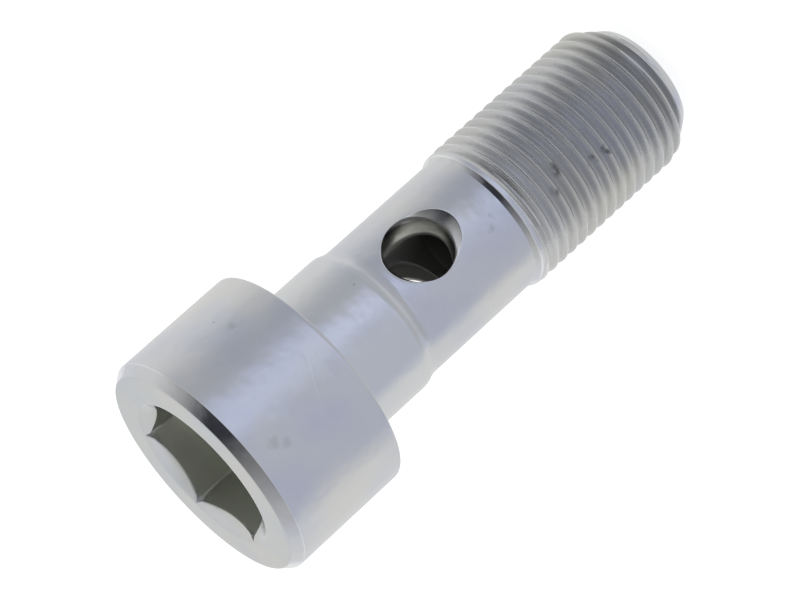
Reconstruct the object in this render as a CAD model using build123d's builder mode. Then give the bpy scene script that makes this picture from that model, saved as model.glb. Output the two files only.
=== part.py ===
from build123d import *
import math
import os

# Banjo bolt: a hollow bolt that clamps a ring fitting and lets fluid pass through its own shank.
# One piece of steel. Z is the bolt's axis: the tip stands on z = 0 and the socket head is at the top.
# The cross hole runs along Y. All lengths are in millimetres and all angles in degrees.

# Cap head
head_dia = 18.0
head_height = 10.1
head_chamfer_width = 0.6  # taken off the radius at the front edge
head_chamfer_height = 0.8  # the same chamfer, measured along the axis
head_back_edge = 0.2  # rounding of the edge beside the seat

# Hexagon socket in the head
socket_across_flats = 10.15
socket_depth = 6.0  # from the front face to the end of the flats
socket_corner_round = 0.25
socket_mouth_dia = 12.3  # countersink, measured on the front face
socket_mouth_angle = 115.0  # included angle of that countersink
socket_pilot_dia = 9.6  # pilot hole, inside the flats
socket_floor_angle = 120.0  # included angle of the pilot drill's point
socket_turn = 24.5  # from +X to the nearest corner of the hexagon

# Shank, measured from the seat under the head
shank_length = 33.7
seat_fillet = 0.15
collar_dia = 11.7
collar_length = 6.2
collar_taper_length = 0.55
waist_dia = 11.1

# Thread: M12 x 1, right hand, drawn as a plain cylinder at its major diameter
thread_dia = 11.85
thread_length = 16.6  # from the tip to where the thread starts to rise from the waist
thread_start_angle = 40.0  # between the starting chamfer's surface and the bolt's axis
tip_dia = 9.0
tip_chamfer_angle = 35.0  # between the chamfer's surface and the bolt's axis

# Fluid passages
bore_dia = 5.5
bore_point_angle = 118.0
bore_mouth_chamfer = 0.4
cross_hole_dia = 5.1
cross_hole_from_seat = 10.6
cross_hole_mouth_dia = 6.2  # countersink, measured along the top line of the waist
cross_hole_mouth_angle = 90.0


def cone_height(wide_dia, narrow_dia, included_angle):
    """Axial length of a cone between two diameters."""
    return (wide_dia - narrow_dia) / 2 / math.tan(math.radians(included_angle / 2))


# Stations along the axis
seat_z = shank_length
face_z = seat_z + head_height
collar_z = seat_z - collar_length
waist_top_z = collar_z - collar_taper_length
thread_rise_z = thread_length
thread_full_z = thread_rise_z - cone_height(thread_dia, waist_dia, 2 * thread_start_angle)
tip_chamfer_z = cone_height(thread_dia, tip_dia, 2 * tip_chamfer_angle)
cross_hole_z = seat_z - cross_hole_from_seat
bore_depth = cross_hole_z + cross_hole_dia / 2  # full bore up to the far edge of the cross hole

# Along the cross hole, from the bolt's axis outwards
cross_hole_wall_y = waist_dia / 2 - cone_height(cross_hole_mouth_dia, cross_hole_dia, cross_hole_mouth_angle)
cutter_end_dia = 2 * cross_hole_mouth_dia - cross_hole_dia  # the countersink runs on past the waist
cutter_end_y = cross_hole_wall_y + cone_height(cutter_end_dia, cross_hole_dia, cross_hole_mouth_angle)


with BuildPart() as banjo_bolt:
    # Turned blank: half of the section, spun round the axis.
    with BuildSketch(Plane.XZ) as blank:
        with BuildLine():
            Polyline(
                (0, 0),
                (tip_dia / 2, 0),
                (thread_dia / 2, tip_chamfer_z),
                (thread_dia / 2, thread_full_z),
                (waist_dia / 2, thread_rise_z),
                (waist_dia / 2, waist_top_z),
                (collar_dia / 2, collar_z),
                (collar_dia / 2, seat_z),
                (head_dia / 2, seat_z),
                (head_dia / 2, face_z - head_chamfer_height),
                (head_dia / 2 - head_chamfer_width, face_z),
                (0, face_z),
                close=True,
            )
        make_face()
        seat_corners = blank.vertices().filter_by_position(Axis.Y, seat_z, seat_z).sort_by(Axis.X)
        fillet(seat_corners[0], radius=seat_fillet)
        fillet(seat_corners[-1], radius=head_back_edge)
    revolve(axis=Axis.Z)

    # Hexagon socket. The countersink is wider than the corners, so it scallops all six flats.
    with BuildSketch(Plane.XY.offset(face_z)) as hexagon:
        RegularPolygon(socket_across_flats / 2, side_count=6, major_radius=False, rotation=socket_turn)
        fillet(hexagon.vertices(), radius=socket_corner_round)
    extrude(amount=-socket_depth, mode=Mode.SUBTRACT)
    with Locations((0, 0, face_z)):
        Cone(
            bottom_radius=socket_pilot_dia / 2,
            top_radius=socket_mouth_dia / 2,
            height=cone_height(socket_mouth_dia, socket_pilot_dia, socket_mouth_angle),
            align=(Align.CENTER, Align.CENTER, Align.MAX),
            mode=Mode.SUBTRACT,
        )
    with Locations((0, 0, face_z - socket_depth)):
        Cone(
            bottom_radius=0,
            top_radius=socket_pilot_dia / 2,
            height=cone_height(socket_pilot_dia, 0, socket_floor_angle),
            align=(Align.CENTER, Align.CENTER, Align.MAX),
            mode=Mode.SUBTRACT,
        )

    # Axial bore with its mouth chamfer and the drill's point, cut as one half-section.
    with BuildSketch(Plane.XZ):
        with BuildLine():
            Polyline(
                (0, 0),
                (bore_dia / 2 + bore_mouth_chamfer, 0),
                (bore_dia / 2, bore_mouth_chamfer),
                (bore_dia / 2, bore_depth),
                (0, bore_depth + cone_height(bore_dia, 0, bore_point_angle)),
                close=True,
            )
        make_face()
    revolve(axis=Axis.Z, mode=Mode.SUBTRACT)

    # Cross hole: drilled right through and countersunk from both sides, cut as one spool shape.
    with BuildSketch(Plane.XY.offset(cross_hole_z)):
        with BuildLine():
            Polyline(
                (0, -cutter_end_y),
                (cutter_end_dia / 2, -cutter_end_y),
                (cross_hole_dia / 2, -cross_hole_wall_y),
                (cross_hole_dia / 2, cross_hole_wall_y),
                (cutter_end_dia / 2, cutter_end_y),
                (0, cutter_end_y),
                close=True,
            )
        make_face()
    revolve(axis=Axis((0, 0, cross_hole_z), (0, 1, 0)), mode=Mode.SUBTRACT)

banjo_bolt.part.label = "banjo_bolt"

os.makedirs("parts", exist_ok=True)
export_step(banjo_bolt.part, "parts/banjo_bolt.step")
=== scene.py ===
# %% [markdown]
# # A banjo bolt, from its frame to its finish
#
# A banjo bolt clamps a ring-shaped hose fitting to a machine and lets the fluid run through its
# own shank: in at the cross hole, down the axial bore, out at the tip. The real one is turned
# from steel bar, its socket is broached, its thread is rolled, and it is plated with zinc.
#
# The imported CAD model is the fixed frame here. It holds every size except the fine thread, which
# is a plain cylinder in it. This script makes one closed mesh of the same bolt with the helical
# thread, softly broken edges and a plated finish, and puts it where the CAD solid stands.
# %% Load the frame
import math

import bmesh
import bpy
from mathutils import Matrix, Vector


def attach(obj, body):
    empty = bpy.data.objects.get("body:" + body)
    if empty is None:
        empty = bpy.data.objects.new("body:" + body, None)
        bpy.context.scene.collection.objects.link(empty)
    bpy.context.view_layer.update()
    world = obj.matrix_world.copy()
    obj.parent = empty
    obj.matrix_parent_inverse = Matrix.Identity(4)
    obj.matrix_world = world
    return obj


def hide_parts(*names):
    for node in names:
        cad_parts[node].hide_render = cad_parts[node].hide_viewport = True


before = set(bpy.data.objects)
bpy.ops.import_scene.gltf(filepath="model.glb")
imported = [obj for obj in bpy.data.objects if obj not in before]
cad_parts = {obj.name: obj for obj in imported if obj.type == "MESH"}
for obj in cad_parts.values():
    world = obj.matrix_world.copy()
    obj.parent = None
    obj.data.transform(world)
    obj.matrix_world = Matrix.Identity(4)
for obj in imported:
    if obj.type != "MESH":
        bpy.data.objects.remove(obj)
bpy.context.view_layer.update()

# %% [markdown]
# ## Sizes
#
# A scene's sizes are easier to follow when each has a name, and is written once. They are the
# sizes of the CAD solid, in millimetres, and `MM` turns them into Blender's metres. Heights run
# up the bolt's axis from the tip, which stands on the floor. First the outside, from the head to
# the tip.
# %% Name the sizes of the outside
MM = 0.001

face_z = 43.8  # front face of the head
head_r = 9.0
head_chamfer = (0.6, 0.8)  # across the face, and down the side
seat_z = 33.7  # underside of the head
collar_r = 5.85
collar_z = 27.5  # lower end of the collar
waist_r = 5.55
waist_top_z = 26.95

thread_top_z = 16.6
thread_crest_r = 5.925
thread_pitch = 1.0
thread_depth = 0.6134 * thread_pitch  # of a 60 degree metric thread
tip_r = 4.5
tip_chamfer_angle = 35.0
thread_start_angle = 40.0

print(f"{face_z} mm long, {2 * head_r} mm across the head, {thread_pitch} mm pitch")

# %% [markdown]
# Then the three holes: the socket from above, the bore from below, and the cross hole, which has
# its axis along Y and opens toward the camera.
# %% Name the sizes of the holes
socket_flat_r = 5.075  # half the size across flats
socket_floor_z = 37.8
socket_corner_r = 0.25
socket_corner_at = 24.5  # degrees from +X to one corner
socket_mouth_r = 6.15
socket_mouth_slope = 57.5  # degrees between the countersink and the axis
socket_pilot_r = 4.8
socket_cone_z = socket_floor_z - socket_pilot_r / math.tan(math.radians(60.0))

bore_r = 2.75
bore_mouth = 0.4  # chamfer at the tip
bore_end_z = 25.65
bore_apex_z = bore_end_z + bore_r / math.tan(math.radians(59.0))

hole_r = 2.55
hole_z = 23.1
hole_cone_y = 5.0  # where the hole's countersink starts, from the axis
hole_cone_off = 0.2  # how far the countersink sits off the hole, toward the tip
window_reach = 3.6  # the mesh around the hole is made apart this far above and below it

print(f"{2 * socket_flat_r} mm across the socket's flats, {2 * bore_r} mm bore, {2 * hole_r} mm hole")

# %% [markdown]
# ## The camera comes first
#
# With the camera set at the start, each piece can be looked at as soon as it is made. The view is
# a long lens from slightly above, rolled so that the bolt lies across the picture from its
# socket, at the lower left, to its tip. A camera looks along its own -Z axis with +Y up, so its
# matrix is written from three directions: right, up, and back.
# %% Place the camera


def add_object(name, data):
    """A new object at the origin, linked to the scene."""
    added = bpy.data.objects.new(name, data)
    bpy.context.scene.collection.objects.link(added)
    return added


camera_at = Vector((-62.95, -205.05, 105.08)) * MM
view_forward = Vector((0.27382, 0.89563, -0.35054)).normalized()
view_up = Vector((0.64068, -0.44169, -0.62804)).normalized()
view_right = view_forward.cross(view_up).normalized()
view_up = view_right.cross(view_forward)

camera = add_object("camera", bpy.data.cameras.new("camera"))
camera.data.sensor_width = 36.0
camera.data.lens = 148.47
camera.data.clip_start = 0.01
camera.matrix_world = Matrix.Translation(camera_at) @ Matrix(
    (view_right, view_up, -view_forward)
).transposed().to_4x4()
bpy.context.scene.camera = camera
print("lens", camera.data.lens, "mm, height above the floor", round(camera_at.z, 4), "m")

# %% [markdown]
# ## A small kit for meshes of known shape
#
# Every surface of this bolt follows a rule, so its points can be worked out instead of modelled
# by hand. All seams are closed at the end, when points that lie on each other are merged. That is
# simpler than sharing points between patches, and a test shows if one was missed.
# %% Collect rows of points


class Skin:
    """Points and faces of one mesh, in millimetres."""

    def __init__(self):
        self.points = []
        self.faces = []

    def row(self, points):
        first = len(self.points)
        self.points.extend(points)
        return list(range(first, len(self.points)))

    def sheet(self, rows, closed):
        """Joins rows that have the same number of points. A closed row's end meets its start."""
        rows = [self.row(points) for points in rows]
        for low, high in zip(rows, rows[1:]):
            count = len(low) if closed else len(low) - 1
            for i in range(count):
                j = (i + 1) % len(low)
                self.faces.append((low[i], low[j], high[j], high[i]))

    def mesh(self, name):
        made = bpy.data.meshes.new(name)
        made.from_pydata([Vector(p) * MM for p in self.points], [], self.faces)
        return made


bolt = Skin()
print("kit ready")

# %% [markdown]
# ## The turned outline
#
# The head, collar and waist come off a lathe, so they are one outline turned about the axis. No
# turned edge is perfectly sharp: each has a radius of a tenth of a millimetre or so, and that
# radius is what catches the light. A Bevel modifier could round them, but on a hollow bolt with
# crossing holes it would need a weight on every edge. Rounding the outline before it is turned
# gives each edge its own radius.
#
# A bend is found by mixing twice: a point runs from the start to the corner, a second one from the
# corner to the end, and the bend lies between the two.
# %% Bend a corner


def mix(p, q, t):
    """The point that lies the share t of the way from p to q."""
    return tuple(a + (b - a) * t for a, b in zip(p, q))


def bend(start, corner, end, steps):
    """Points on a smooth bend from start to end that stays inside the corner."""
    return [
        mix(mix(start, corner, k / steps), mix(corner, end, k / steps), k / steps)
        for k in range(steps + 1)
    ]


print("halfway round a square corner of 1 mm:", bend((0, 1), (0, 0), (1, 0), 2)[1])

# %% [markdown]
# The outline is a list of corners, each with its own rounding. A bend starts and ends where a
# circle of that radius would touch the two sides. One more point close to each end of a bend keeps
# the flats flat, because smooth shading spreads over the whole face next to it.
# %% Round the corners of an outline
bend_steps = 5
guard = 0.16  # distance of the guarding points from a bend


def rounded_outline(corners):
    """Corners are (radius, height, rounding). The first and last stay as they are."""
    outline = [corners[0][:2]]
    for before, here, after in zip(corners, corners[1:], corners[2:]):
        to_before = Vector(before[:2]) - Vector(here[:2])
        to_after = Vector(after[:2]) - Vector(here[:2])
        reach = here[2] / math.tan(to_before.angle(to_after) / 2)
        start = Vector(here[:2]) + to_before.normalized() * reach
        end = Vector(here[:2]) + to_after.normalized() * reach
        arc = bend(tuple(start), here[:2], tuple(end), bend_steps)
        if to_before.length > 4 * guard + reach:
            arc.insert(0, tuple(start + to_before.normalized() * guard))
        if to_after.length > 4 * guard + reach:
            arc.append(tuple(end + to_after.normalized() * guard))
        outline.extend(arc)
    return outline + [corners[-1][:2]]


print(bend_steps + 1, "points in a bend")

# %% [markdown]
# From the front face the outline runs over the chamfer, down the head's side, in under the head,
# down the collar and its taper, and ends on the waist just above the cross hole. The two ends of
# the taper are cut with a worn tool's large radius, and so they hardly show.
# %% Write the outline of head, collar and waist
face_edge_r = head_r - head_chamfer[0]
taper_runout = 0.12  # the collar's taper has no crisp ends, and fades a little past them
outline = rounded_outline(
    [
        (face_edge_r - 0.6, face_z, 0),
        (face_edge_r, face_z, 0.14),
        (head_r, face_z - head_chamfer[1], 0.14),
        (head_r, seat_z, 0.22),
        (collar_r, seat_z, 0.15),
        (collar_r, collar_z + taper_runout, 1.8),
        (waist_r, waist_top_z - taper_runout, 2.0),
        (waist_r, hole_z + window_reach, 0),
    ]
)
print(len(outline), "points from the front face to the waist")

# %% [markdown]
# Turning is a rule too: each point of the outline is repeated around the axis, one every degree
# and a half. On the head, which is 57 mm around, such a step is less than a quarter of a
# millimetre.
# %% Turn the outline


def polar(radius, degrees, z):
    """A point from its distance to the axis, its angle from +X, and its height."""
    turn = math.radians(degrees)
    return (radius * math.cos(turn), radius * math.sin(turn), z)


turn_step = 1.5
turn_angles = [turn_step * i for i in range(round(360 / turn_step))]
bolt.sheet([[polar(r, a, z) for a in turn_angles] for r, z in outline], closed=True)
print(len(turn_angles), "points around the bolt")

# %% [markdown]
# ## The waist and its two windows
#
# The cross hole breaks out through a round surface, so its rim is a saddle-shaped curve that no
# ring of the turned mesh can follow. The way round this is a window: a patch of the turned mesh
# is left out on each side, and filled with rows that start on the window's frame and end on the
# rim. The window has as many points on its frame as the hole has around it.
# %% Leave a window on each side of the waist
window_half = 36.0  # degrees each side of the hole's axis
window_low, window_high = hole_z - window_reach, hole_z + window_reach
window_rows = 24
window_heights = [
    window_low + (window_high - window_low) * k / window_rows for k in range(window_rows + 1)
]
for hole_side in (-90.0, 90.0):
    strip = [
        hole_side + window_half + turn_step * i
        for i in range(round((180 - 2 * window_half) / turn_step) + 1)
    ]
    bolt.sheet([[polar(waist_r, a, z) for a in strip] for z in window_heights], closed=False)
middle_z, last_row_z = 18.2, thread_top_z + 0.12  # rows that keep the lower waist flat
lower_waist = (window_low, middle_z, last_row_z, thread_top_z)
bolt.sheet([[polar(waist_r, a, z) for a in turn_angles] for z in lower_waist], closed=True)
print("window", round(math.radians(2 * window_half) * waist_r, 2), "mm wide")

# %% [markdown]
# ## The cross hole
#
# A 90 degree countersink only touches a round bar above and below the hole, where the bar's crown
# is highest, so at the two sides the rim is the bare edge of the hole. Countersinking is a second
# cut, and a second cut is never perfectly in line with the first: the cone sits a fifth of a
# millimetre toward the tip, so its rim is wider there. One number for that slip makes the mouth
# look machined instead of ideal.
#
# A place around the hole has a direction `psi`, counted from straight up, and a distance `rho`
# from the hole's axis. The rim is where the waist and the countersink are equally deep.
# %% Find the rim
widest_countersink = 1.2  # more than it can be wide anywhere, as a first guess
halvings = 40


def waist_depth(rho, psi):
    """Distance of the waist's surface from the plane through the axis, along the hole."""
    return math.sqrt(waist_r**2 - (rho * math.sin(psi)) ** 2)


def cone_depth(rho, psi):
    """Distance of the countersink from the plane through the axis, along the hole."""
    from_cone_axis = math.hypot(rho * math.sin(psi), rho * math.cos(psi) + hole_cone_off)
    return hole_cone_y + from_cone_axis - hole_r


def rim_radius(psi):
    """Where the countersink leaves the waist, found by halving the gap between two guesses."""
    low, high = hole_r, hole_r + widest_countersink
    if waist_depth(low, psi) <= cone_depth(low, psi):
        return hole_r
    for _ in range(halvings):
        middle = (low + high) / 2
        if cone_depth(middle, psi) < waist_depth(middle, psi):
            low = middle
        else:
            high = middle
    return low


print(f"rim {rim_radius(0.0):.2f} mm from the hole's axis above it, {rim_radius(math.pi):.2f} below")

# %% [markdown]
# A column of points starts at each point of the window's frame and heads for the hole. It ends on
# the bore's wall, which the two mouths share at that height, half a turn each.
# %% Frame the windows


def frame_of(half_width, low, high, across, up):
    """(angle, height) of the points around a window, from its lower left corner."""
    corners = [(-half_width, low), (half_width, low), (half_width, high), (-half_width, high)]
    sides = zip(corners, [*corners[1:], corners[0]], (across, up, across, up))
    return [mix(p, q, k / count) for p, q, count in sides for k in range(count)]


across_count = round(2 * window_half / turn_step)
waist_frame = frame_of(window_half, window_low, window_high, across_count, window_rows)
bore_window_low = hole_z - 3.1
quarter_turn = 90.0
bore_frame = frame_of(quarter_turn, bore_window_low, bore_end_z, across_count, window_rows)
directions = [
    math.atan2(waist_r * math.sin(math.radians(a)), z - hole_z) for a, z in waist_frame
]
rims = [rim_radius(psi) for psi in directions]
print(f"{len(rims)} points around the hole, rim {2 * min(rims):.2f} to {2 * max(rims):.2f} mm")

# %% [markdown]
# Both edges of the countersink are broken a little. Where it is wide, each edge has a bend of its
# own. Toward the hole's sides it narrows to nothing and two bends would cross, so there they melt
# into one.
# %% Soften the mouth's edges
edge_break = 0.07
edge_steps = 3
full_width = 0.2  # of the countersink, from which both of its edges have a bend of their own


def mouth_bend(skirt, corner, foot, wall_start):
    """Two bends with the countersink between them, or one bend where the countersink runs out."""
    width = (Vector(foot) - Vector(corner)).length
    share = min(0.5, edge_break / max(width, edge_break))
    apart = bend(skirt, corner, mix(corner, foot, share), edge_steps)
    apart += bend(mix(foot, corner, share), foot, wall_start, edge_steps)
    steps = len(apart) - 1
    pairs = zip(bend(skirt, corner, foot, steps), bend(corner, foot, wall_start, steps))
    together = [mix(near, far, k / steps) for k, (near, far) in enumerate(pairs)]
    return [mix(p, q, min(1.0, width / full_width)) for p, q in zip(together, apart)]


print(2 * (edge_steps + 1), "points over the countersink")

# %% [markdown]
# On the waist and in the bore a point is an angle from the hole's axis and a height, so that the
# way between two such points stays on the round surface. In the hole it is a depth along the axis.
# %% Place points on the round surfaces and in the hole


def on_round(radius, turn_and_height):
    """A point on a cylinder, its angle counted from the hole's axis on the camera's side."""
    return polar(radius, turn_and_height[0] - quarter_turn, turn_and_height[1])


def crossing(radius, rho, psi):
    """Where a line along the hole, at rho and psi, goes through a cylinder about the axis."""
    turn = math.degrees(math.asin(rho * math.sin(psi) / radius))
    return (turn, hole_z + rho * math.cos(psi))


def in_hole(rho, psi, depth):
    return (rho * math.sin(psi), -depth, hole_z + rho * math.cos(psi))


print("the hole's top edge in the bore is", round(crossing(bore_r, hole_r, 0.0)[1], 2), "mm up")

# %% [markdown]
# Along its direction, a column runs over the round waist to the rim, down the countersink, along
# the wall, and over the edge into the bore.
# %% Run the columns into the hole
to_mouth = (0, 0.3, 0.6, 0.85)  # shares of the way, closer together near the mouth
into_bore = (0.35, 0.7, 1)
wall_steps = 6


def hole_column(psi, rim, waist_start, bore_finish):
    """Points from the window's frame on the waist to the window's frame in the bore."""
    skirt = crossing(waist_r, rim + edge_break, psi)
    corner = in_hole(rim, psi, waist_depth(rim, psi))
    foot = in_hole(hole_r, psi, cone_depth(hole_r, psi)) if rim > hole_r else corner
    inner_edge = crossing(bore_r, hole_r, psi)
    wall_end = on_round(bore_r, inner_edge)
    wall_start = tuple(Vector(foot) + (Vector(wall_end) - Vector(foot)).normalized() * edge_break)
    column = [on_round(waist_r, mix(waist_start, skirt, t)) for t in to_mouth]
    column += mouth_bend(on_round(waist_r, skirt), corner, foot, wall_start)
    column += [mix(wall_start, wall_end, k / wall_steps) for k in range(1, wall_steps + 1)]
    return column + [on_round(bore_r, mix(inner_edge, bore_finish, t)) for t in into_bore]


columns = [hole_column(*ends) for ends in zip(directions, rims, waist_frame, bore_frame)]
print(len(columns), "columns, each of", len(columns[0]), "points")

# %% [markdown]
# The hole goes right through, so the same rows make the second mouth, half a turn further around
# the bolt.
# %% Lay the rows of both mouths
for side in (1, -1):
    rows = [[(side * x, side * y, z) for x, y, z in row] for row in zip(*columns)]
    bolt.sheet(rows, closed=True)
print(len(rows), "rows from the waist to the bore, on each side")

# %% [markdown]
# ## The bore and the tip
#
# The bore is drilled from the tip and stops just above the cross hole, in the blunt cone that a
# drill leaves. A cone that ends in a ring of tiny faces would leave a pinhole, so its last row is
# one point repeated, and the merge at the end closes it.
# %% Line the bore
bore_angles = [2 * quarter_turn / across_count * i for i in range(2 * across_count)]
bore_middle_z = 10.0
toward_apex = (0.1, 0.4, 0.7, 1.0)
bore_rows = [(bore_r + bore_mouth, 0.0), (bore_r, bore_mouth), (bore_r, bore_mouth + guard)]
bore_rows += [(bore_r, bore_middle_z), (bore_r, bore_window_low)]
bolt.sheet([[polar(r, a, z) for a in bore_angles] for r, z in bore_rows], closed=True)
drill_point = [(bore_r, bore_end_z)]
drill_point += [mix((bore_r, bore_end_z), (0.0, bore_apex_z), t) for t in toward_apex]
bolt.sheet([[polar(r, a, z) for a in bore_angles] for r, z in drill_point], closed=True)
print(f"bore {bore_end_z} mm deep to the drill's shoulder")

# %% [markdown]
# Two flat faces have rings with different numbers of points at their edges: the tip's end around
# the bore, and later the head's face around the socket. Triangles fill them. Both rings are walked
# at once, and the next triangle takes its new corner from the ring that lags behind.
# %% Close the tip's end


def rising_angles(points):
    """The points' angles about the axis, rising, and the first again after a full turn."""
    angles = [math.atan2(p[1], p[0]) for p in points]
    for i in range(1, len(angles)):
        while angles[i] < angles[i - 1]:
            angles[i] += math.tau
    return angles + [angles[0] + math.tau]


def fill_ring(skin, inner, outer):
    """Joins two closed rows with different numbers of points, both in order of angle."""
    inner_row, outer_row = skin.row(inner), skin.row(outer)
    inner_angle, outer_angle = rising_angles(inner), rising_angles(outer)
    i = j = 0
    while i < len(inner) or j < len(outer):
        inner_point, outer_point = inner_row[i % len(inner)], outer_row[j % len(outer)]
        outer_done = j == len(outer)
        if outer_done or (i < len(inner) and inner_angle[i + 1] <= outer_angle[j + 1]):
            i += 1
            skin.faces.append((inner_point, outer_point, inner_row[i % len(inner)]))
        else:
            j += 1
            skin.faces.append((inner_point, outer_point, outer_row[j % len(outer)]))


fill_ring(
    bolt,
    [polar(bore_r + bore_mouth, a, 0.0) for a in bore_angles],
    [polar(tip_r, a, 0.0) for a in turn_angles],
)
print("tip closed with", len(bore_angles) + len(turn_angles), "triangles")

# %% [markdown]
# ## The hexagon socket
#
# The socket is made in three steps on the real bolt: a round pilot hole, a countersink, and a
# broach that pushes the six flats down through both. Where the flats cut the countersink they
# leave six scallops. In the mesh, one column of points runs down at each angle, and the hexagon
# is only a rule that says how far out the wall is there.
# %% Trace the hexagon with its rounded corners


def hexagon_radius(from_corner):
    """Distance from the axis to the wall, at an angle counted from the nearest corner."""
    arc_centre = (socket_flat_r - socket_corner_r) / math.cos(math.radians(30.0))
    arc_end = math.degrees(math.atan2(
        socket_corner_r * 0.5, arc_centre + socket_corner_r * math.cos(math.radians(30.0))
    ))
    if abs(from_corner) < arc_end:
        sideways = arc_centre * math.sin(math.radians(from_corner))
        return arc_centre * math.cos(math.radians(from_corner)) + math.sqrt(
            socket_corner_r**2 - sideways**2
        )
    return socket_flat_r / math.cos(math.radians(30.0 - abs(from_corner)))


print(f"{2 * hexagon_radius(30.0):.2f} mm across flats, {2 * hexagon_radius(0.0):.2f} across corners")

# %% [markdown]
# Columns stand close together at the corners, where the wall turns, and a degree and a half apart
# along the flats.
# %% Space the columns around the socket
corner_steps = (-1.24, -0.95, -0.6, -0.3, 0, 0.3, 0.6, 0.95, 1.24)
flat_steps = [1.5 * k for k in range(1, 40)]
socket_angles = []
for corner in range(6):
    for step in [*corner_steps[4:], *flat_steps, *(60 + s for s in corner_steps[:4])]:
        nearest = step if step < 30 else step - 60
        socket_angles.append((socket_corner_at + 60 * corner + step, nearest))
print(len(socket_angles), "columns around the socket")

# %% [markdown]
# From the face a column runs over the mouth's edge, down the countersink, over the scallop's edge
# and down the flat to the floor, where the pilot's drill has left a cone. At its corners a broach
# cuts a little too deep where it enters, so each corner has a small spur there, which fades out
# in the first millimetre and a half.
# %% Run the columns down the socket
mouth_break = 0.08
mouth_skirt = 0.3  # the first row lies this far outside the mouth
scallop_break = 0.06
spur_depth = 0.24  # how far the broach's corner cuts past the hexagon at the mouth
spur_half = 2.6  # degrees
spur_fade, spur_end = face_z - 0.9, face_z - 1.5
fading_share = 0.6  # of the spur, still there at spur_fade
wall_middle_z = 40.0
down_point = (0.05, 0.35, 0.7, 1.0)


def socket_column(angle, from_corner):
    """Points from the face to the bottom of the drill's cone."""
    wall_r = hexagon_radius(from_corner)
    spur_r = wall_r + spur_depth * max(0.0, 1 - abs(from_corner) / spur_half)
    slope = math.tan(math.radians(socket_mouth_slope))
    rim = (socket_mouth_r, face_z)
    scallop = (spur_r, face_z - (socket_mouth_r - spur_r) / slope)
    down_cone = (Vector(scallop) - Vector(rim)).normalized()
    past_rim = tuple(Vector(rim) + down_cone * mouth_break)
    before_scallop = tuple(Vector(scallop) - down_cone * scallop_break)
    column = [(socket_mouth_r + mouth_skirt, face_z)]
    column += bend((socket_mouth_r + mouth_break, face_z), rim, past_rim, edge_steps)
    column += bend(before_scallop, scallop, (spur_r, scallop[1] - scallop_break), edge_steps)
    column += [(wall_r + (spur_r - wall_r) * fading_share, spur_fade), (wall_r, spur_end)]
    column += [(wall_r, wall_middle_z), (wall_r, socket_floor_z + guard)]
    column += [(wall_r, socket_floor_z), (socket_pilot_r, socket_floor_z)]
    point = ((socket_pilot_r, socket_floor_z), (0.0, socket_cone_z))
    column += [mix(*point, t) for t in down_point]
    return [polar(r, angle, z) for r, z in column]


socket_columns = [socket_column(*pair) for pair in socket_angles]
bolt.sheet(list(zip(*socket_columns)), closed=True)
print(f"socket {face_z - socket_floor_z:.1f} mm deep, to the end of its flats")

# %% [markdown]
# The face of the head is the second flat ring. The socket's columns start at a corner and the
# turned rings at +X, so both are sorted by angle first.
# %% Close the head's face


def by_angle(points):
    return sorted(points, key=lambda p: math.atan2(p[1], p[0]) % math.tau)


fill_ring(
    bolt,
    by_angle([column[0] for column in socket_columns]),
    by_angle([polar(outline[0][0], a, face_z) for a in turn_angles]),
)
print(len(bolt.faces), "faces before the thread")

# %% [markdown]
# ## The thread
#
# A thread is one groove wound around the shank, so it follows a rule, and Geometry Nodes can make
# it. The tree starts from a flat grid and rolls it up. Across the grid is the angle; up the grid
# is the height, and each step around also climbs by its share of the pitch, so the grid's rows
# run along the helix and every crest is a clean line of points. A row that would leave the thread
# is pressed flat onto its end, where it becomes a plain ring that fits the waist or the tip.
#
# The radius is the groove's shape, held inside three cones and cylinders that the lathe cut: the
# chamfer at the tip, the chamfer where the thread starts, and the rising floor of the first turns.
# %% Name the thread's inputs
crest_flat = thread_pitch / 8
thread_inputs = {
    "Pitch": thread_pitch * MM,
    "Crest Radius": thread_crest_r * MM,
    "Groove Depth": thread_depth * MM,
    "Crest Flat": crest_flat * MM,
    "Waist Radius": waist_r * MM,
    "Thread Length": thread_top_z * MM,
    "Start Slope": math.tan(math.radians(thread_start_angle)),
    "Tip Radius": tip_r * MM,
    "Tip Slope": math.tan(math.radians(tip_chamfer_angle)),
    "First Crest Height": 0.0,
    "Seam Angle": 0.0,
    "First Land": 0.2 * thread_pitch * MM,
    "Start Fade": 1.0 * thread_pitch * MM,
    "Low Start": 0.15 * MM,
    "Last Groove": 0.5 * thread_pitch * MM,
    "Crest Round": 0.16 * MM,
    "Root Round": 0.22 * MM,
    "Row Crowding": 0.45,
}
thread_counts = {"Steps Around": len(turn_angles), "Steps per Pitch": 14, "Turns": 18}
print(len(thread_inputs), "sizes and", len(thread_counts), "counts")

# %% [markdown]
# The tree is a node group. Each size becomes a named input of it, so that the thread of another
# bolt needs other numbers but not another tree.
tree = bpy.data.node_groups.new("rolled_thread", "GeometryNodeTree")
sockets = {}
for name in thread_inputs:
    sockets[name] = tree.interface.new_socket(name, in_out="INPUT", socket_type="NodeSocketFloat")
for name in thread_counts:
    sockets[name] = tree.interface.new_socket(name, in_out="INPUT", socket_type="NodeSocketInt")
sockets["Steel"] = tree.interface.new_socket("Steel", in_out="INPUT", socket_type="NodeSocketMaterial")
tree.interface.new_socket("Geometry", in_out="OUTPUT", socket_type="NodeSocketGeometry")
given = tree.nodes.new("NodeGroupInput").outputs
print(len(sockets), "inputs")

# %% [markdown]
# Trees built in a script are mostly arithmetic, so a short helper pays for itself. `calc` adds one
# Math node, links or sets its inputs, and hands back its result, so that the tree below reads like
# the formula it stands for.
# %% Add a helper for arithmetic


def put(node_tree, value, socket):
    """Links a socket to another, or sets it where the value is a plain number."""
    if isinstance(value, bpy.types.NodeSocket):
        node_tree.links.new(value, socket)
    else:
        socket.default_value = value


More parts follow.
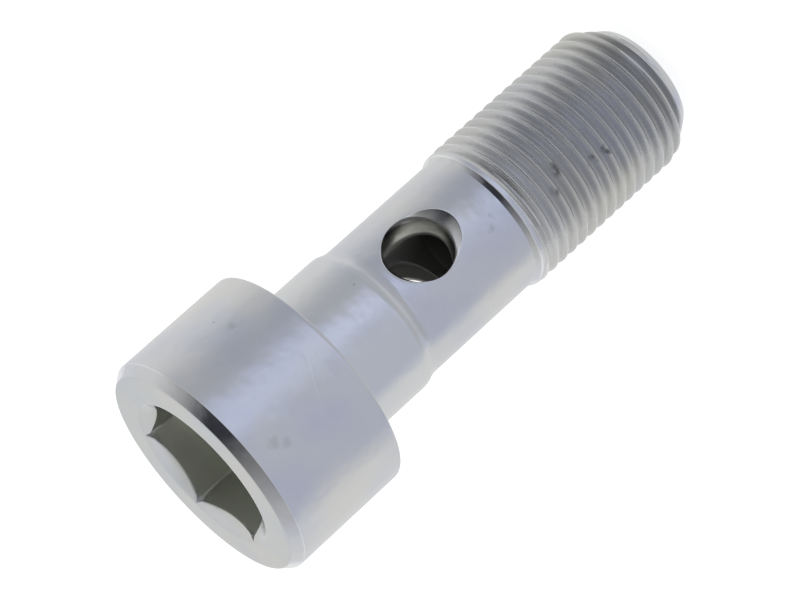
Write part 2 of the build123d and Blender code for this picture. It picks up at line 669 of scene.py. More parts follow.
def calc(node_tree, operation, *values):
    node = node_tree.nodes.new("ShaderNodeMath")
    node.operation = operation
    for value, socket in zip(values, node.inputs):
        put(node_tree, value, socket)
    return node.outputs[0]


def thread(operation, *values):
    return calc(tree, operation, *values)


print("helper ready")

# %% [markdown]
# The grid comes first, one unit wide and high. Its rows are crowded toward the crests, where the
# surface bends most and catches the light.
# %% Roll the grid up along the helix
rows_up = thread("MULTIPLY", given["Steps per Pitch"], given["Turns"])
grid = tree.nodes.new("GeometryNodeMeshGrid")
put(tree, 1.0, grid.inputs["Size X"])
put(tree, 1.0, grid.inputs["Size Y"])
put(tree, thread("ADD", given["Steps Around"], 1.0), grid.inputs["Vertices X"])
put(tree, thread("ADD", rows_up, 1.0), grid.inputs["Vertices Y"])

place = tree.nodes.new("GeometryNodeInputPosition")
parts = tree.nodes.new("ShaderNodeSeparateXYZ")
put(tree, place.outputs[0], parts.inputs[0])
around = thread("ADD", parts.outputs["X"], 0.5)
even = thread("MULTIPLY", thread("ADD", parts.outputs["Y"], 0.5), given["Turns"])
crowd = thread("DIVIDE", given["Row Crowding"], math.tau)
ripple = thread("MULTIPLY", thread("SINE", thread("MULTIPLY", even, math.tau)), crowd)
along = thread("SUBTRACT", even, ripple)
climb = thread("MULTIPLY", thread("ADD", along, around), given["Pitch"])
free_height = thread("ADD", climb, given["First Crest Height"])
height = thread("MINIMUM", thread("MAXIMUM", free_height, 0.0), given["Thread Length"])
angle = thread("ADD", thread("MULTIPLY", around, math.tau), given["Seam Angle"])
print("grid rolled")

# %% [markdown]
# The groove is worked out from the distance to the nearest crest. A straight flank line is held
# between zero and the full depth, and both joints are smooth ones, because a rolled thread has a
# rounded crest and a rounded root.
# %% Cut the groove
above_first = thread("SUBTRACT", height, given["First Crest Height"])
phase = thread("SUBTRACT", thread("DIVIDE", above_first, given["Pitch"]), around)
to_crest = thread("ABSOLUTE", thread("SUBTRACT", phase, thread("ROUND", phase)))
from_crest = thread("MULTIPLY", to_crest, given["Pitch"])
half_flat = thread("DIVIDE", given["Crest Flat"], 2.0)
flank = thread("MULTIPLY", thread("SUBTRACT", from_crest, half_flat), math.tan(math.radians(60.0)))
flank = thread("SMOOTH_MAX", flank, 0.0, given["Crest Round"])
cut = thread("SMOOTH_MIN", flank, given["Groove Depth"], given["Root Round"])
print("groove cut")

# %% [markdown]
# Near the tip the chamfer takes the crests down and the groove stays as deep as before, then ends
# half a pitch from the end. At the waist a plain land follows the chamfer, still a little low, and
# then the groove reaches its depth over one turn, as the runout of a rolled thread does.
# %% Hold it inside the turned shape
crest, depth = given["Crest Radius"], given["Groove Depth"]
tip_cone = thread("MULTIPLY_ADD", height, given["Tip Slope"], given["Tip Radius"])
from_start = thread("SUBTRACT", given["Thread Length"], height)
full_share = thread("MINIMUM", thread("DIVIDE", from_start, given["Pitch"]), 1.0)
missing = thread("MULTIPLY", thread("SUBTRACT", 1.0, full_share), given["Low Start"])
limit = thread("MINIMUM", tip_cone, thread("SUBTRACT", crest, missing))
last_groove = given["Last Groove"]
tip_share = thread("DIVIDE", thread("SUBTRACT", height, last_groove), last_groove)
tip_share = thread("MINIMUM", thread("MAXIMUM", tip_share, 0.0), 1.0)
grooved = thread("SUBTRACT", limit, thread("MULTIPLY", cut, tip_share))

start_rise = thread("SUBTRACT", crest, given["Waist Radius"])
start_length = thread("DIVIDE", start_rise, given["Start Slope"])
past_chamfer = thread("SUBTRACT", from_start, start_length)
past_land = thread("MAXIMUM", thread("SUBTRACT", past_chamfer, given["First Land"]), 0.0)
floor_drop = thread("MULTIPLY", depth, thread("DIVIDE", past_land, given["Start Fade"]))
radius = thread("MAXIMUM", grooved, thread("SUBTRACT", limit, floor_drop))
start_cone = thread(
    "MULTIPLY_ADD", from_start, given["Start Slope"], given["Waist Radius"]
)
radius = thread("MINIMUM", radius, start_cone)
print("thread held")

# %% [markdown]
# The grid's points move to the radius, angle and height that were worked out for them. Rows that
# were pressed onto the thread's ends lie on each other and are merged. The tree ends in Realize
# Instances and Set Material, so that its result is plain faces with the steel on them.
# %% Move the grid and close the tree
final = tree.nodes.new("ShaderNodeCombineXYZ")
put(tree, thread("MULTIPLY", thread("COSINE", angle), radius), final.inputs["X"])
put(tree, thread("MULTIPLY", thread("SINE", angle), radius), final.inputs["Y"])
put(tree, height, final.inputs["Z"])
move = tree.nodes.new("GeometryNodeSetPosition")
weld = tree.nodes.new("GeometryNodeMergeByDistance")
weld.inputs["Distance"].default_value = 0.0005 * MM
realize = tree.nodes.new("GeometryNodeRealizeInstances")
paint = tree.nodes.new("GeometryNodeSetMaterial")
result = tree.nodes.new("NodeGroupOutput")
put(tree, grid.outputs["Mesh"], move.inputs["Geometry"])
put(tree, final.outputs[0], move.inputs["Position"])
put(tree, move.outputs[0], weld.inputs["Geometry"])
put(tree, weld.outputs[0], realize.inputs[0])
put(tree, realize.outputs[0], paint.inputs["Geometry"])
put(tree, given["Steel"], paint.inputs["Material"])
put(tree, paint.outputs[0], result.inputs[0])
print(len(tree.nodes), "nodes in the thread's tree")

# %% [markdown]
# The modifier's inputs are set by each socket's identifier, before the object is looked at for
# the first time. The helix starts where the grid's seam is: a crest passes the seam there, and
# the whole number of pitches below it makes sure that the grid covers the thread from end to end.
# %% Run the tree
steel = bpy.data.materials.new("zinc_plated_steel")
crest_height_at_front = 15.896  # a crest's height where it faces the camera
front_angle = -107.0  # degrees from +X to that place
seam_angle = -108.0
pitches_below = 17
first_crest = crest_height_at_front - pitches_below * thread_pitch
first_crest += thread_pitch * (seam_angle - front_angle) / 360
thread_inputs["First Crest Height"] = first_crest * MM
thread_inputs["Seam Angle"] = math.radians(seam_angle)

carrier = add_object("thread_carrier", bpy.data.meshes.new("thread_carrier"))
modifier = carrier.modifiers.new("rolled thread", "NODES")
modifier.node_group = tree
for name, value in {**thread_inputs, **thread_counts, "Steel": steel}.items():
    modifier[sockets[name].identifier] = value
evaluated = carrier.evaluated_get(bpy.context.evaluated_depsgraph_get())
thread_mesh = bpy.data.meshes.new_from_object(evaluated)
carrier.modifiers.remove(modifier)
bpy.data.objects.remove(carrier)
print(len(thread_mesh.vertices), "points,", len(thread_mesh.polygons), "faces in the thread")

# %% [markdown]
# ## One closed skin
#
# All the patches now go into one mesh. Points that lie on each other are merged, faces that this
# leaves without area are dissolved, and the normals are made to point out. An edge with one face
# would be a gap, so the count of such edges has to be zero.
# %% Merge the patches
made = bmesh.new()
made.from_mesh(bolt.mesh("turned"))
made.from_mesh(thread_mesh)
bmesh.ops.remove_doubles(made, verts=made.verts, dist=0.001 * MM)
bmesh.ops.dissolve_degenerate(made, edges=made.edges, dist=0.0005 * MM)
bmesh.ops.recalc_face_normals(made, faces=made.faces)
open_edges = [e for e in made.edges if len(e.link_faces) != 2]
print("open edges:", len(open_edges), " volume:", round(made.calc_volume() * 1e9, 1), "mm3")

# %% [markdown]
# A bolt that has lain in a box with others has a few nicks on its crests. Each is a place, a size
# and a depth, and the points near it are pressed toward the axis.
# %% Press the nicks into the crests
nick_size, nick_depth = 0.34, 0.13
nicks = ((-127.6, 9.4), (-128.5, 8.2), (-125.6, 13.2), (-117.6, 12.2), (-113.2, 12.1))
nicks += ((35.0, 6.2), (80.0, 11.4))  # degrees from +X, and height
for turn, nick_z in nicks:
    centre = Vector(polar(thread_crest_r, turn, nick_z)) * MM
    for vert in made.verts:
        near = 1 - ((vert.co - centre).length / (nick_size * MM)) ** 2
        if near > 0:
            vert.co -= Vector((vert.co.x, vert.co.y, 0)).normalized() * nick_depth * MM * near**2
bolt_mesh = bpy.data.meshes.new("banjo_bolt_steel")
made.to_mesh(bolt_mesh)
made.free()
print(len(nicks), "nicks")

# %% [markdown]
# The mesh becomes one object at the origin. Smooth shading blends the small faces, except where
# two of them meet at more than 33 degrees: that keeps the machined edges crisp. The object rides
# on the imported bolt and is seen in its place.
# %% Put the bolt in the scene
bolt_body = add_object("bolt_body", bolt_mesh)
bolt_mesh.materials.clear()
bolt_mesh.materials.append(steel)
for polygon in bolt_mesh.polygons:
    polygon.material_index = 0
bolt_mesh.shade_smooth()
bolt_mesh.set_sharp_from_angle(angle=math.radians(33.0))
bolt_mesh.calc_loop_triangles()
print(len(bolt_mesh.loop_triangles), "triangles")
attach(bolt_body, "root")
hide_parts("banjo_bolt")

# %% [markdown]
# ## The finish
#
# A zinc plated bolt is steel under a few thousandths of a millimetre of zinc and a thin clear
# passivation. It is not a mirror: the turning marks show through as fine rings, the passivation
# makes soft pale and bluish patches, and handling leaves hairline scratches and specks. Plating
# also follows the current in the bath, which hardly reaches into holes, so the socket is dull and
# the bore is nearly bare, dark steel. Each of these effects is a node group of its own, with named
# inputs, so it can be tried on another part.
# %% Add helpers for node groups


def shader_group(name, inputs, outputs):
    """A new node group, with its inputs and outputs declared by name and kind."""
    group = bpy.data.node_groups.new(name, "ShaderNodeTree")
    for label, kind, value in inputs:
        made_socket = group.interface.new_socket(
            label, in_out="INPUT", socket_type="NodeSocket" + kind
        )
        if value is not None:
            made_socket.default_value = value
    for label, kind in outputs:
        group.interface.new_socket(label, in_out="OUTPUT", socket_type="NodeSocket" + kind)
    return group, group.nodes.new("NodeGroupInput").outputs, group.nodes.new("NodeGroupOutput").inputs


def use(node_tree, group, **values):
    """Puts a group into a tree and gives its inputs."""
    node = node_tree.nodes.new("ShaderNodeGroup")
    node.node_tree = group
    node.label = group.name
    for label, value in values.items():
        put(node_tree, value, node.inputs[label])
    return node.outputs


print("group helpers ready")

# %% [markdown]
# A mask says where an effect shows, from 0 to 1. `ramp` is a soft step between two values,
# `overlap` is what several masks have in common, and `between` is two ramps that make a band with
# soft edges.
# %% Add helpers for masks


def ramp(node_tree, value, low, high, to_low=0.0, to_high=1.0, shape="SMOOTHSTEP"):
    """A step between two values. With low above high it runs the other way."""
    node = node_tree.nodes.new("ShaderNodeMapRange")
    node.interpolation_type = shape
    settings = {"Value": value, "From Min": low, "From Max": high, "To Min": to_low, "To Max": to_high}
    for label, setting in settings.items():
        put(node_tree, setting, node.inputs[label])
    return node.outputs[0]


def overlap(node_tree, first, *others):
    """Masks multiplied: what is left is where all of them are."""
    for other in others:
        first = calc(node_tree, "MULTIPLY", first, other)
    return first


def between(node_tree, value, start, full_from, full_to, end):
    """A band that is 1 from full_from to full_to, and 0 outside start and end."""
    rise = ramp(node_tree, value, start, full_from)
    fall = ramp(node_tree, value, end, full_to)
    return overlap(node_tree, rise, fall)


print("mask helpers ready")

# %% [markdown]
# `mix_colour` lays one colour over another by a mask. `noise_at` gives smooth random values from
# 0 to 1 that depend on the place alone, so they are the same each time.
# %% Add helpers for colours and noise


def mix_colour(node_tree, factor, under, over):
    """Under shows where the factor is 0, over where it is 1."""
    node = node_tree.nodes.new("ShaderNodeMix")
    node.data_type = "RGBA"
    put(node_tree, factor, node.inputs["Factor"])
    for colour, socket in ((under, node.inputs[6]), (over, node.inputs[7])):
        put(node_tree, (*colour, 1.0) if isinstance(colour, tuple) else colour, socket)
    return node.outputs[2]


def noise_at(node_tree, place, scale, detail=2.0):
    node = node_tree.nodes.new("ShaderNodeTexNoise")
    put(node_tree, place, node.inputs["Vector"])
    put(node_tree, scale, node.inputs["Scale"])
    node.inputs["Detail"].default_value = detail
    return node.outputs[0]


print("colour helpers ready")

# %% [markdown]
# On a turned part, the natural coordinates are the ones of the lathe: how far from the axis, how
# high along it, and at what angle. Object coordinates give a point in metres; this group turns
# them into millimetres and into those three.
# %% Measure where a point is on the bolt
where, given_here, result_here = shader_group(
    "bolt_place",
    [("Position", "Vector", None)],
    [("Millimetres", "Vector"), ("Radius", "Float"), ("Height", "Float"), ("Angle", "Float")],
)
to_mm = where.nodes.new("ShaderNodeVectorMath")
to_mm.operation = "SCALE"
to_mm.inputs["Scale"].default_value = 1 / MM
put(where, given_here["Position"], to_mm.inputs[0])
axes = where.nodes.new("ShaderNodeSeparateXYZ")
put(where, to_mm.outputs[0], axes.inputs[0])
x_here, y_here, z_here = axes.outputs
across = calc(where, "ADD", calc(where, "POWER", x_here, 2.0), calc(where, "POWER", y_here, 2.0))
put(where, to_mm.outputs[0], result_here["Millimetres"])
put(where, calc(where, "SQRT", across), result_here["Radius"])
put(where, z_here, result_here["Height"])
turned = calc(where, "ARCTAN2", y_here, x_here)
put(where, calc(where, "DEGREES", turned), result_here["Angle"])
print(where.name, "made")

# %% [markdown]
# Where the plating is thin can be told from the place alone, and so can the grooves that get painted
# shade. The bore is everything near the axis and below the socket, the hole's wall is what lies under
# the waist's surface at the hole's height, and the socket is what lies inside the head's countersink.
# The thread's grooves are darkened with painted shade, most of it in the first turns at the tip.
# %% Mask the insides
inside, given_here, result_here = shader_group(
    "plating_and_shade_zones",
    [("Radius", "Float", None), ("Height", "Float", None)],
    [(mask, "Float") for mask in ("Bore", "Hole Wall", "Socket", "Thread", "Groove", "Collar")],
)
r_here, z_here = given_here["Radius"], given_here["Height"]


def at_height(start, full_from, full_to, end):
    return between(inside, z_here, start, full_from, full_to, end)


near_bore = ramp(inside, r_here, bore_r + 0.5, bore_r + 0.1)
put(inside, overlap(inside, at_height(0.3, 2.5, 29.0, 30.0), near_bore), result_here["Bore"])
under_waist = ramp(inside, r_here, waist_r - 0.45, waist_r - 0.85)
at_hole = at_height(hole_z - 3.5, hole_z - 3.3, hole_z + 3.3, hole_z + 3.5)
put(inside, overlap(inside, at_hole, under_waist), result_here["Hole Wall"])
in_mouth = ramp(inside, r_here, socket_mouth_r + 0.15, socket_mouth_r - 0.05)
at_socket = at_height(socket_cone_z - 0.5, socket_cone_z - 0.1, face_z - 0.9, face_z - 0.2)
put(inside, overlap(inside, at_socket, in_mouth), result_here["Socket"])
at_thread = at_height(0.8, 1.1, thread_top_z - 0.8, thread_top_z - 0.5)
on_thread = overlap(inside, at_thread, ramp(inside, r_here, tip_r - 0.3, tip_r - 0.1))
put(inside, on_thread, result_here["Thread"])
# The Groove mask says where painted shade darkens the thread: in the grooves only, strongest at the
# tip.
toward_tip = ramp(inside, z_here, thread_top_z - 0.1, thread_top_z - 5.1)
at_tip = ramp(inside, z_here, 5.0, 2.5, 0.28, 0.8)
in_groove = ramp(inside, r_here, 5.8, 5.5)
put(inside, overlap(inside, on_thread, toward_tip, at_tip, in_groove), result_here["Groove"])
at_collar = at_height(collar_z - 0.5, collar_z + 0.1, seat_z - 0.02, seat_z + 0.02)
put(inside, at_collar, result_here["Collar"])
print(inside.name, "made")

# %% [markdown]
# A lathe tool leaves rings. On a cylinder they follow each other along the axis, on a flat face
# along the radius, so height plus radius counts them on both. Noise read along that one number
# gives rings of uneven depth, as a real feed does. A trace of the angle keeps them from being
# perfect circles.
# %% Turn fine rings
rings, given_here, result_here = shader_group(
    "turning_rings",
    [
        ("Height", "Float", None),
        ("Radius", "Float", None),
        ("Angle", "Float", None),
        ("Rings per mm", "Float", 9.0),
    ],
    [("Relief", "Float")],
)
line_place = rings.nodes.new("ShaderNodeCombineXYZ")
put(rings, calc(rings, "ADD", given_here["Height"], given_here["Radius"]), line_place.inputs["X"])
sideways = calc(rings, "SINE", calc(rings, "RADIANS", given_here["Angle"]))
put(rings, calc(rings, "MULTIPLY", sideways, 0.02), line_place.inputs["Y"])
ring_noise = noise_at(rings, line_place.outputs[0], given_here["Rings per mm"], 3.0)
put(rings, ring_noise, result_here["Relief"])
print(rings.name, "made")

# %% [markdown]
# The clear passivation is a dipped film of uneven thickness. Large, soft noise gives its patches
# and small noise the crystals of the zinc under it. A third, slow wave goes into the relief: no
# turned surface is a perfect cylinder, and on polished metal a few thousandths are enough to bend
# the edge of a reflection.
# %% Cloud the passivation
clouds, given_here, result_here = shader_group(
    "passivation_clouds",
    [
        ("Position", "Vector", None),
        ("Patches per mm", "Float", 0.16),
        ("Grain per mm", "Float", 3.2),
        ("Waves per mm", "Float", 0.4),
    ],
    [("Patch", "Float"), ("Grain", "Float"), ("Wave", "Float")],
)
patch = noise_at(clouds, given_here["Position"], given_here["Patches per mm"], 3.0)
grain = noise_at(clouds, given_here["Position"], given_here["Grain per mm"])
wave = noise_at(clouds, given_here["Position"], given_here["Waves per mm"])
put(clouds, ramp(clouds, patch, 0.34, 0.68), result_here["Patch"])
put(clouds, ramp(clouds, grain, 0.3, 0.75), result_here["Grain"])
put(clouds, wave, result_here["Wave"])
print(clouds.name, "made")

# %% [markdown]
# A hairline scratch is a contour line of large, smooth noise: the places where its value is just
# one half make long thin curves, and a second noise keeps only short pieces of them. Specks are
# the middles of small cells, again only a few. Rare and faint is right here: marks that can be
# counted from across the room belong to a part that was dropped.
# %% Scatter handling marks
marks, given_here, result_here = shader_group(
    "handling_marks",
    [("Position", "Vector", None), ("Curves per mm", "Float", 0.09), ("Hairline", "Float", 0.0035)],
    [("Scratch", "Float"), ("Speck", "Float")],
)
level = noise_at(marks, given_here["Position"], given_here["Curves per mm"], 0.0)
from_half = calc(marks, "ABSOLUTE", calc(marks, "SUBTRACT", level, 0.5))
line = ramp(marks, from_half, given_here["Hairline"], 0.0)
few = ramp(marks, noise_at(marks, given_here["Position"], 0.3, 1.0), 0.56, 0.66)
put(marks, overlap(marks, line, few), result_here["Scratch"])
cells = marks.nodes.new("ShaderNodeTexVoronoi")
put(marks, given_here["Position"], cells.inputs["Vector"])
put(marks, 0.8, cells.inputs["Scale"])
dots = ramp(marks, cells.outputs["Distance"], 0.11, 0.04)
chosen = ramp(marks, noise_at(marks, given_here["Position"], 0.6, 0.0), 0.66, 0.72)
put(marks, overlap(marks, dots, chosen), result_here["Speck"])
print(marks.name, "made")

# %% [markdown]
# Other marks sit at one place, where a finger, a tray or another bolt touched. A smudge is what
# lies nearer to a point than its size, and noise added to the distance makes its edge ragged. The
# same group, darker, marks each nick in the thread: the blow has broken the zinc there.
# %% Dab a smudge at a place
smudge, given_here, result_here = shader_group(
    "smudge_at",
    [("Position", "Vector", None), ("Centre", "Vector", None), ("Size", "Float", 0.4)],
    [("Mask", "Float")],
)
apart = smudge.nodes.new("ShaderNodeVectorMath")
apart.operation = "DISTANCE"
put(smudge, given_here["Position"], apart.inputs[0])
put(smudge, given_here["Centre"], apart.inputs[1])
ragged = calc(smudge, "SUBTRACT", noise_at(smudge, given_here["Position"], 2.2, 1.0), 0.5)
reach = calc(smudge, "MULTIPLY_ADD", ragged, 0.6, apart.outputs["Value"])
core_size = calc(smudge, "MULTIPLY", given_here["Size"], 0.2)
put(smudge, ramp(smudge, reach, given_here["Size"], core_size), result_here["Mask"])
print(smudge.name, "made")

# %% [markdown]
# The material starts by asking each group about the point that is being shaded.
# %% Place the effects on the bolt
steel.use_nodes = True
finish = steel.node_tree
shader = finish.nodes["Principled BSDF"]


def fin(operation, *values):
    return calc(finish, operation, *values)


def tint(factor, under, over):
    return mix_colour(finish, factor, under, over)


object_place = finish.nodes.new("ShaderNodeTexCoord").outputs["Object"]
place_on = use(finish, where, Position=object_place)
at_mm, at_r, at_z = place_on["Millimetres"], place_on["Radius"], place_on["Height"]
plating_and_shade = use(finish, inside, Radius=at_r, Height=at_z)
ring = use(finish, rings, Height=at_z, Radius=at_r, Angle=place_on["Angle"])
cloud = use(finish, clouds, Position=at_mm)
mark = use(finish, marks, Position=at_mm)
print("five groups placed")

# %% [markdown]
# Bare metal has no paint colour. With Metallic at 1, Base Color is the share of each reflected
# colour, so zinc is a light, slightly blue grey. The collar was turned finer and reflects a little
# more, and the thread, rolled and rubbed, a little less.
# %% Tint the plating
zinc_bluish, zinc_pale = (0.660, 0.680, 0.748), (0.735, 0.735, 0.732)
worn_bluish, worn_pale = (0.619, 0.625, 0.655), (0.655, 0.652, 0.638)
fine_turned = (0.775, 0.790, 0.800)
first_turns = (0.705, 0.708, 0.715)  # of the thread, below the waist
# Painted shade for the thread's grooves.
groove_shade = (0.465, 0.468, 0.462)
speck_grey = (0.30, 0.30, 0.32)
scratch_bright = (0.84, 0.84, 0.86)

plated = tint(cloud["Patch"], zinc_bluish, zinc_pale)
plated = tint(fin("MULTIPLY", plating_and_shade["Collar"], 0.5), plated, fine_turned)
worn = tint(cloud["Patch"], worn_bluish, worn_pale)
worn = tint(ramp(finish, at_z, 11.5, 16.0), worn, first_turns)
plated = tint(plating_and_shade["Thread"], plated, worn)
# Painted shade in the thread's grooves.
plated = tint(plating_and_shade["Groove"], plated, groove_shade)
plated = tint(fin("MULTIPLY", mark["Speck"], 0.35), plated, speck_grey)
plated = tint(fin("MULTIPLY", mark["Scratch"], 0.25), plated, scratch_bright)
print("plating tinted")

# %% [markdown]
# A place on a surface of known radius is an angle and a height. The smudges are few and small,
# and each nick in the thread gets a darker mark of the same kind.
# %% Add the smudges and the nicks
smudges = (
    (head_r, -117.7, 41.3, 0.62),
    (head_r, -121.5, 40.6, 0.5),
    (head_r, -65.4, 37.4, 0.5),
    (head_r, 40.0, 38.5, 0.5),
    (waist_r, -108.0, 17.8, 0.34),
    (waist_r, -115.0, 18.4, 0.4),
)
nick_mark_size = 0.55
nick_marks = [(thread_crest_r, turn, nick_z, nick_mark_size) for turn, nick_z in nicks]


def dab_all(covered, places, strength, dirt):
    """Places are (radius, angle, height, size)."""
    for *spot, size in places:
        dab = use(finish, smudge, Position=at_mm, Centre=polar(*spot), Size=size)
        covered = tint(fin("MULTIPLY", dab["Mask"], strength), covered, dirt)
    return covered


smudge_grey, broken_zinc = (0.42, 0.45, 0.44), (0.12, 0.12, 0.14)
plated = dab_all(plated, smudges, 0.33, smudge_grey)
plated = dab_all(plated, nick_marks, 1.0, broken_zinc)
print(len(smudges), "smudges,", len(nick_marks), "nicks")

# %% [markdown]
# The holes are darker with depth. The front wall of the cross hole is dull, with painted shade near
# its mouth and painted light deeper in. The wall on the far side of the bore is painted black as
# shade, and the lower lip of the hole is rough, with a painted light band on it.
# %% Mask the hole's wall and its lip
in_bolt = finish.nodes.new("ShaderNodeSeparateXYZ")
put(finish, at_mm, in_bolt.inputs[0])
x_in, y_in, z_in = in_bolt.outputs
from_middle = fin("ABSOLUTE", y_in)
# The half of the hole beyond the axis: it gets painted shade and more roughness.
far_side = ramp(finish, y_in, -0.5, 0.5)
above_hole = fin("SUBTRACT", z_in, hole_z)
off_hole_axis = fin("SQRT", fin("ADD", fin("POWER", x_in, 2.0), fin("POWER", above_hole, 2.0)))
at_wall = ramp(finish, off_hole_axis, hole_r + 0.06, hole_r + 0.02)
# The lip's mask puts a painted light band and more roughness on the hole's lower edge, near the mouth.
at_lip = ramp(finish, from_middle, 4.3, 4.7)
lower_lip = overlap(finish, at_wall, at_lip, ramp(finish, above_hole, 1.0, -0.8))
print("hole masks made")

# %% [markdown]
# Each inside is laid over the plating by its mask: the dull socket, the hole's wall with its painted
# shade, the painted light band on the lip, and last the bore, which runs through the others.
# %% Darken the holes
# Painted shade on the front wall near the hole's mouth (wall_outer), lighter painted light deeper in
# (wall_inner).
wall_outer, wall_inner = (0.21, 0.21, 0.195), (0.44, 0.44, 0.40)
# Painted shade for the wall on the far side of the hole.
far_wall_shade = (0.105, 0.105, 0.10)
socket_dull = (0.667, 0.679, 0.636)
# Painted light for the hole's lower lip.
lip_light = (0.60, 0.60, 0.575)
bare_steel = (0.34, 0.34, 0.33)

# Painted shade and light on the hole's walls.
wall = tint(ramp(finish, from_middle, 4.3, 3.3), wall_outer, wall_inner)
wall = tint(far_side, wall, far_wall_shade)
colour_now = tint(plating_and_shade["Socket"], plated, socket_dull)
colour_now = tint(plating_and_shade["Hole Wall"], colour_now, wall)
# Painted light band on the hole's lower lip.
colour_now = tint(lower_lip, colour_now, lip_light)
colour_now = tint(plating_and_shade["Bore"], colour_now, bare_steel)
put(finish, colour_now, shader.inputs["Base Color"])
shader.inputs["Metallic"].default_value = 1.0
print("holes darkened")

# %% [markdown]
# Roughness says how sharply the studio is seen in the metal: 0.15 is bright zinc, and each dull
# place adds its own share to that.
# %% Roughen the dull places
rough = 0.15
for dull_place, added in (
    (cloud["Patch"], 0.05),
    (cloud["Grain"], 0.04),
    (plating_and_shade["Socket"], 0.15),
    (plating_and_shade["Thread"], 0.09),
    (plating_and_shade["Hole Wall"], fin("MULTIPLY_ADD", far_side, 0.55, 0.12)),
    (lower_lip, 0.5),
    (plating_and_shade["Bore"], 0.4),
):
    rough = fin("MULTIPLY_ADD", dull_place, added, rough)
put(finish, rough, shader.inputs["Roughness"])
print("roughness set")

# %% [markdown]
# The last hundredths of a millimetre are relief in a Bump node. Its Distance is a real height in
# metres, so the relief stays honest: all the visible shapes are in the mesh. The face is turned in
# one pass and is flatter than the sides, so the slow wave is lower there.
# %% Give relief
outside_socket = fin("SUBTRACT", 1.0, plating_and_shade["Socket"])
relief = fin("MULTIPLY_ADD", cloud["Grain"], 0.06, fin("MULTIPLY", ring["Relief"], 0.10))
wave_height = ramp(finish, at_z, face_z - head_chamfer[1], face_z, 4.5, 1.4)
from_mean = fin("SUBTRACT", cloud["Wave"], 0.5)
relief = fin("MULTIPLY_ADD", from_mean, wave_height, relief)
relief = fin("MULTIPLY_ADD", fin("MULTIPLY", mark["Scratch"], outside_socket), -0.08, relief)
bump = finish.nodes.new("ShaderNodeBump")
bump.inputs["Strength"].default_value = 1.0
bump.inputs["Distance"].default_value = 0.02 * MM
put(finish, relief, bump.inputs["Height"])
put(finish, bump.outputs[0], shader.inputs["Normal"])
print(len(finish.nodes), "nodes in the finish")

# %% [markdown]
# ## Floor and light
#
# Small metal parts are pictured on a white table that is lit from within, so that they cast no
# hard shadow. The floor is pale and glows a little for that reason, and it is kept out of the
# metal's reflections, which the room below makes instead.
# %% Lay the floor
floor_half = 3.0
floor_corners = [(-floor_half, -floor_half, 0), (floor_half, -floor_half, 0)]
floor_corners += [(floor_half, floor_half, 0), (-floor_half, floor_half, 0)]
floor_mesh = bpy.data.meshes.new("floor")
floor_mesh.from_pydata(floor_corners, [], [(0, 1, 2, 3)])
floor = add_object("floor", floor_mesh)
pale = bpy.data.materials.new("pale_table")
pale.use_nodes = True
table_shader = pale.node_tree.nodes["Principled BSDF"]
table_shader.inputs["Base Color"].default_value = (0.82, 0.82, 0.82, 1)
table_shader.inputs["Roughness"].default_value = 0.9
table_shader.inputs["Emission Color"].default_value = (1, 1, 1, 1)
table_shader.inputs["Emission Strength"].default_value = 0.72
floor_mesh.materials.append(pale)
floor.visible_glossy = False
floor.visible_shadow = False
print("floor", 2 * floor_half, "m wide")

# %% [markdown]
# Polished metal shows little of itself and much of the room, so the room is drawn instead of
# lamps: a world that gives each direction a colour. Two angles name a direction, as on a globe:
# `off_camera` counts around the bolt from the camera's side, and `elevation` up from the horizon.
# A smooth cylinder shows one narrow band of elevations, and spreads `off_camera` across its width.
# %% Name the directions
bpy.context.scene.view_settings.view_transform = "Standard"
world = bpy.data.worlds.new("studio")
bpy.context.scene.world = world
world.use_nodes = True
sky = world.node_tree
sky.nodes.clear()


def light(operation, *values):
    return calc(sky, operation, *values)


def sector(start, full_from, full_to, end, turn=None):
    return between(sky, off_camera if turn is None else turn, start, full_from, full_to, end)


def height_band(start, full_from, full_to, end):
    return between(sky, elevation, start, full_from, full_to, end)


def lay(mask, over):
    """Lays a colour over what the room has so far."""
    return mix_colour(sky, mask, room, over)


split = sky.nodes.new("ShaderNodeSeparateXYZ")
put(sky, sky.nodes.new("ShaderNodeTexCoord").outputs["Generated"], split.inputs[0])
elevation = light("DEGREES", light("ARCSINE", split.outputs["Z"]))
from_x = light("DEGREES", light("ARCTAN2", split.outputs["Y"], split.outputs["X"]))
off_camera = light("WRAP", light("SUBTRACT", front_angle, from_x), 180.0, -180.0)
away = light("ABSOLUTE", off_camera)
print("directions named")

# %% [markdown]
# The tent is white at the sides. Toward the camera its front is open, and darker, and in that
# opening hangs a strip of bluish daylight: it becomes the long bright line down the bolt. The
# strip leans a little below the horizon, which a real panel does when it hangs out of true.
# %% Hang the tent and its strip of daylight
tent = (0.775, 0.775, 0.765)
open_left, open_right = (0.455, 0.47, 0.505), (0.545, 0.565, 0.64)
strip_edge, strip_core, strip_middle = (0.605, 0.645, 0.765), (0.67, 0.71, 0.845), (0.73, 0.77, 0.93)

room = tent
room = lay(ramp(sky, off_camera, -126.0, -58.0), open_left)
room = lay(ramp(sky, off_camera, -10.0, 20.0), open_right)
room = lay(ramp(sky, off_camera, 78.0, 108.0), tent)
lean = light("MULTIPLY", light("MINIMUM", light("ADD", elevation, 19.5), 0.0), 4.0)
along_strip = light("ADD", off_camera, lean)
room = lay(sector(-54.0, -30.0, -8.0, 14.0, along_strip), strip_edge)
core = sector(-36.0, -26.0, -12.0, -2.0, along_strip)
room = lay(overlap(sky, core, ramp(sky, elevation, -24.0, -20.0)), strip_core)
middle = sector(-34.0, -26.0, -12.0, -4.0, along_strip)
room = lay(overlap(sky, middle, height_band(-22.0, -20.5, -18.8, -17.6)), strip_middle)
print("tent hung")

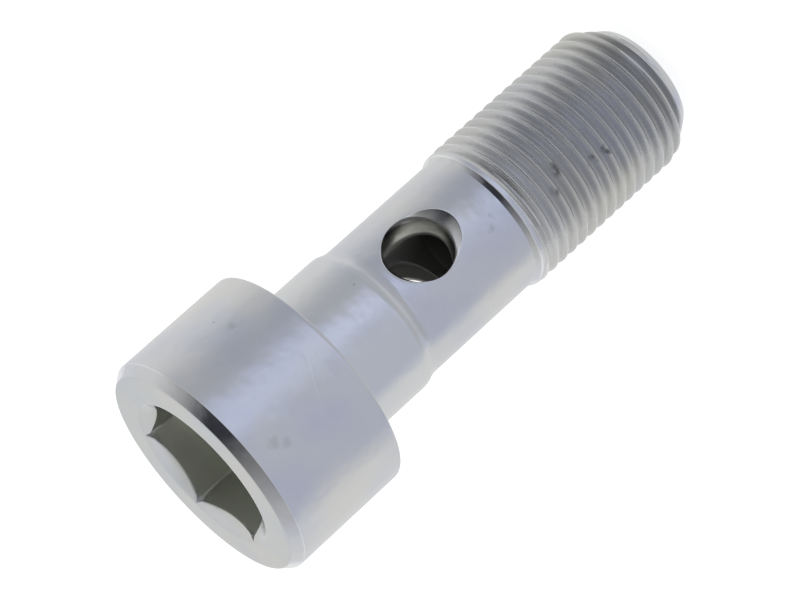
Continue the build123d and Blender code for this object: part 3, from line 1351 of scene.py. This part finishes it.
# %% [markdown]
# Below and above that band are the things only small surfaces see. The thread's flanks look down
# to the table's edge and up along the tent's bright sides.
# %% Light the tent's sides and the table's edge
table_edge = (0.50, 0.508, 0.53)
side_white, beside_white = (0.97, 0.97, 0.96), (1.02, 1.02, 1.0)

low_front = sector(-104.0, -62.0, 70.0, 108.0)
low_front = overlap(sky, low_front, height_band(-58.0, -48.0, -36.0, -28.0))
room = lay(low_front, table_edge)
side_glow = overlap(sky, height_band(-13.0, -6.0, -3.0, 4.0), ramp(sky, away, 98.0, 125.0))
room = lay(side_glow, side_white)
room = lay(ramp(sky, elevation, -4.0, 16.0), tent)
beside = sector(82.0, 106.0, 134.0, 150.0, away)
room = lay(overlap(sky, beside, height_band(-14.0, -7.0, 7.0, 15.0)), beside_white)
print("sides lit")

# %% [markdown]
# The head's chamfer looks up at the front, past the tent, into the dark room. Flat faces see the
# tent's back and its roof, and what looks straight down sees the table.
# %% Furnish the rest of the room
tent_back, roof = (0.725, 0.73, 0.70), (0.60, 0.60, 0.58)
dark_room = (0.035, 0.036, 0.042)
table_top = (0.71, 0.71, 0.70)

behind = overlap(sky, ramp(sky, away, 120.0, 160.0), ramp(sky, elevation, 2.0, 16.0))
room = lay(behind, tent_back)
dark_left = ramp(sky, off_camera, -112.0, -44.0, shape="LINEAR")
dark_right = light("POWER", ramp(sky, off_camera, 120.0, -14.0, shape="LINEAR"), 0.75)
dark = overlap(sky, dark_left, dark_right, height_band(8.0, 34.0, 66.0, 84.0))
room = lay(dark, dark_room)
room = lay(ramp(sky, elevation, 66.0, 84.0), roof)
room = lay(ramp(sky, elevation, -50.0, -66.0), table_top)
print("room furnished")

# %% [markdown]
# The camera itself sees plain white. Only the rays that leave the bolt see the room.
# %% Light the scene
room = lay(sky.nodes.new("ShaderNodeLightPath").outputs["Is Camera Ray"], (1.0, 1.0, 1.0))
background = sky.nodes.new("ShaderNodeBackground")
put(sky, room, background.inputs["Color"])
output = sky.nodes.new("ShaderNodeOutputWorld")
put(sky, background.outputs[0], output.inputs[0])
print("lit")
